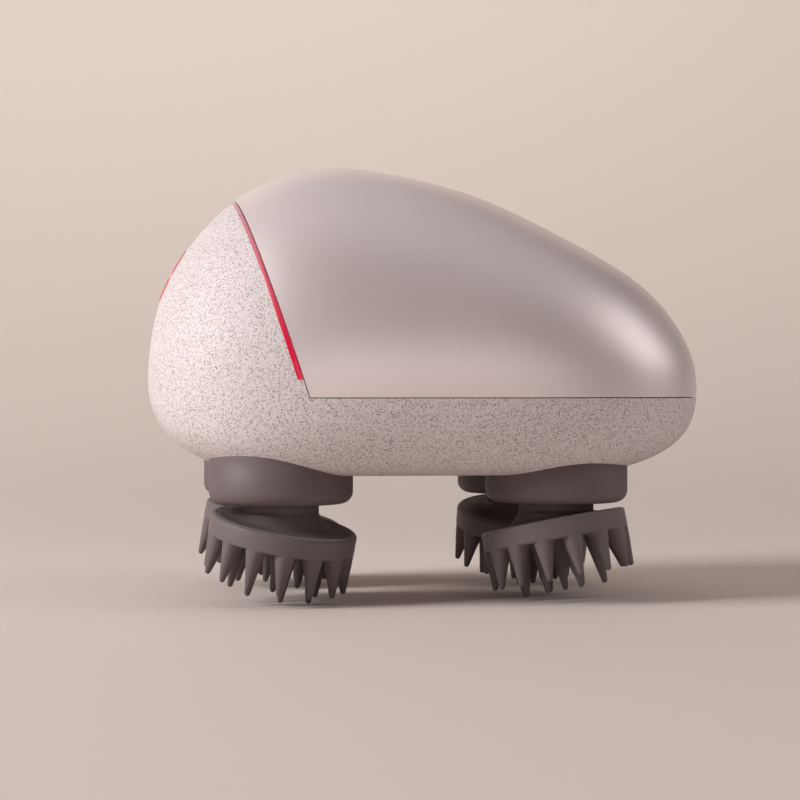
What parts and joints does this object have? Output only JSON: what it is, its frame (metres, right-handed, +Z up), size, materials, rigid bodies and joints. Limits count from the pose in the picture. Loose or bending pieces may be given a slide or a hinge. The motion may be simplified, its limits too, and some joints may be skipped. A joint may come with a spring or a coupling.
{
  "type": "scalp massager brush",
  "caption": "Palm-held electric scalp massager: egg-shaped housing over tilted, gear-driven soft finger heads, with a tail button and a light strip along the cover seam.",
  "frame": {"origin": "under the middle of the whole object, at the height of the lowest finger tips", "axes": "+X towards the low nose, -X towards the tall tail with the button, +Y across, +Z up"},
  "size_m": [0.122, 0.0874, 0.0948],
  "materials": {
    "speckled_shell": "moulded, pale pinkish white with fine grey speckle",
    "pearl_cover": "pearl lacquer, champagne to rose silver",
    "red_light_plastic": "clear red light guide",
    "button_plastic": "fine satin",
    "collar_plastic": "satin moulded, taupe",
    "carrier_plastic": "satin moulded, taupe",
    "finger_silicone": "soft-touch silicone, taupe",
    "seal_rubber": "black nitrile",
    "bush_bronze": "sintered bronze",
    "gear_plastic": "natural acetal",
    "pinion_brass": "hobbed brass",
    "bright_steel": "ground steel",
    "motor_can": "zinc plated can",
    "inner_plastic": "glass filled nylon, black",
    "board": "green solder mask",
    "battery_wrap": "blue shrink wrap",
    "gilt_pins": "gold plated"
  },
  "bodies": {
    "housing": {"battery": "battery_wrap", "battery_tray": "inner_plastic", "button_ring": "red_light_plastic", "centre_axle": "bright_steel", "charging_pins": "gilt_pins", "collar_front_left": "collar_plastic", "collar_front_right": "collar_plastic", "collar_rear_left": "collar_plastic", "collar_rear_right": "collar_plastic", "contact_holder": "inner_plastic", "gear_plate": "inner_plastic", "gearmotor": "motor_can", "led_board": "board", "light_guide": "red_light_plastic", "lip_seal_front_left": "seal_rubber", "lip_seal_front_right": "seal_rubber", "lip_seal_rear_left": "seal_rubber", "lip_seal_rear_right": "seal_rubber", "lower_bush_front_left": "bush_bronze", "lower_bush_front_right": "bush_bronze", "lower_bush_rear_left": "bush_bronze", "lower_bush_rear_right": "bush_bronze", "lower_shell": "speckled_shell", "main_board": "board", "motor_bracket": "bright_steel", "motor_screws": "bright_steel", "plate_screws": "bright_steel", "standoffs": "pinion_brass", "switch_board": "board", "tact_switch": "inner_plastic", "top_cover": "pearl_cover", "upper_bush_front_left": "bush_bronze", "upper_bush_front_right": "bush_bronze", "upper_bush_rear_left": "bush_bronze", "upper_bush_rear_right": "bush_bronze"},
    "centre_gear": {"centre_gear": "gear_plastic"},
    "head_front_left": {"finger_pad_front_left": "finger_silicone", "head_carrier_front_left": "carrier_plastic", "spindle_front_left": "bright_steel", "spindle_gear_front_left": "gear_plastic"},
    "head_front_right": {"finger_pad_front_right": "finger_silicone", "head_carrier_front_right": "carrier_plastic", "spindle_front_right": "bright_steel", "spindle_gear_front_right": "gear_plastic"},
    "head_rear_left": {"finger_pad_rear_left": "finger_silicone", "head_carrier_rear_left": "carrier_plastic", "spindle_gear_rear_left": "gear_plastic", "spindle_rear_left": "bright_steel"},
    "head_rear_right": {"finger_pad_rear_right": "finger_silicone", "head_carrier_rear_right": "carrier_plastic", "spindle_gear_rear_right": "gear_plastic", "spindle_rear_right": "bright_steel"},
    "motor_pinion": {"motor_pinion": "pinion_brass", "motor_shaft": "bright_steel"},
    "power_button": {"power_button": "button_plastic"}
  },
  "joints": [
    {"name": "centre_gear_spin", "type": "hinge", "parent": "housing", "child": "centre_gear", "pos_m": [-0.0028, 0, 0.0405], "axis": [0, 0, 1], "continuous": true},
    {"name": "head_front_left_spin", "type": "hinge", "parent": "housing", "child": "head_front_left", "pos_m": [-0.03273, -0.02, 0.0405], "axis": [0, 0, 1], "continuous": true},
    {"name": "head_front_right_spin", "type": "hinge", "parent": "housing", "child": "head_front_right", "pos_m": [0.02713, -0.02, 0.0405], "axis": [0, 0, 1], "continuous": true},
    {"name": "head_rear_right_spin", "type": "hinge", "parent": "housing", "child": "head_rear_right", "pos_m": [0.02713, 0.02, 0.0405], "axis": [0, 0, 1], "continuous": true},
    {"name": "head_rear_left_spin", "type": "hinge", "parent": "housing", "child": "head_rear_left", "pos_m": [-0.03273, 0.02, 0.0405], "axis": [0, 0, 1], "continuous": true},
    {"name": "motor_pinion_spin", "type": "hinge", "parent": "housing", "child": "motor_pinion", "pos_m": [-0.0312, 0, 0.0405], "axis": [0, 0, 1], "continuous": true},
    {"name": "power_button_press", "type": "slide", "parent": "housing", "child": "power_button", "axis": [0.8829, 0, -0.4695], "range_m": [0, 0.0007], "stiffness_N_per_m": 1500, "springref_m": -0.0005}
  ],
  "couplings": [
    {"joint": "head_front_left_spin", "follows": "centre_gear_spin", "ratio": -1.8125},
    {"joint": "head_front_right_spin", "follows": "centre_gear_spin", "ratio": -1.8125},
    {"joint": "head_rear_right_spin", "follows": "centre_gear_spin", "ratio": -1.8125},
    {"joint": "head_rear_left_spin", "follows": "centre_gear_spin", "ratio": -1.8125},
    {"joint": "motor_pinion_spin", "follows": "centre_gear_spin", "ratio": -4.4615}
  ]
}
